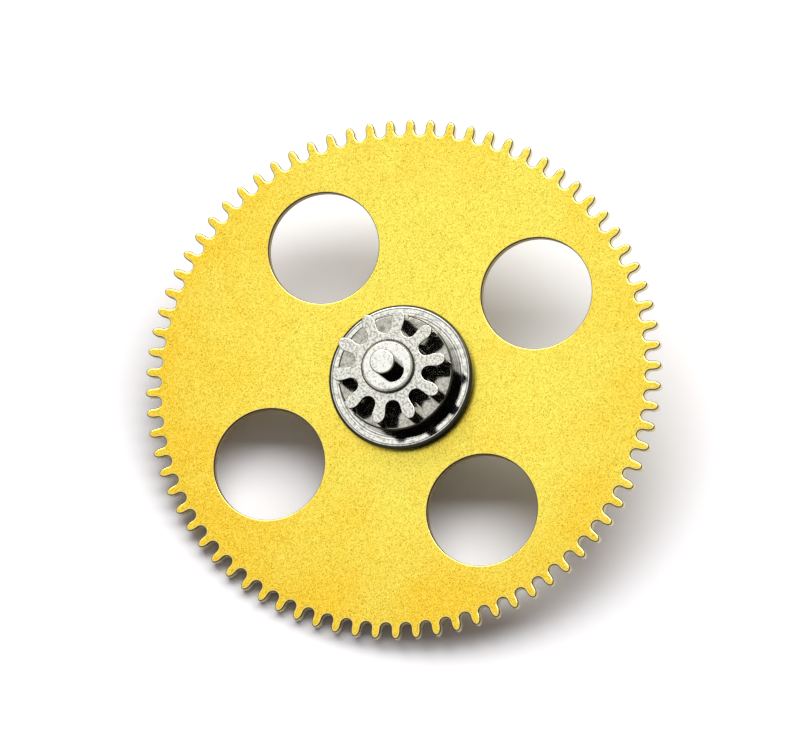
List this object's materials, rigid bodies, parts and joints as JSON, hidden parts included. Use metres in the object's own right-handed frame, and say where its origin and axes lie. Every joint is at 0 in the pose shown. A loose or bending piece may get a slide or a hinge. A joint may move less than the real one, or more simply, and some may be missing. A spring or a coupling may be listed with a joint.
{
  "type": "watch driving wheel",
  "caption": "Gilt brass watch wheel with fine rounded teeth and round windows, riveted to a stepped steel seat collar on a steel pinion with short pivots at both ends.",
  "frame": {"origin": "On the arbor's axis, at the middle of the wheel's toothing", "axes": "+Z runs along the arbor towards the pinion and the front pivot; +X passes through the middle of one round window"},
  "size_m": [0.008, 0.008, 0.0026],
  "materials": {
    "gilt_brass": "frosted gilt plating with a fine grain",
    "turned_steel": "finely turned and polished, with faint concentric lines",
    "polished_steel": "hardened and polished, bright"
  },
  "bodies": {
    "root": {"wheel_plate": "gilt_brass", "seat_collar": "turned_steel", "pinion": "polished_steel"}
  },
  "joints": []
}
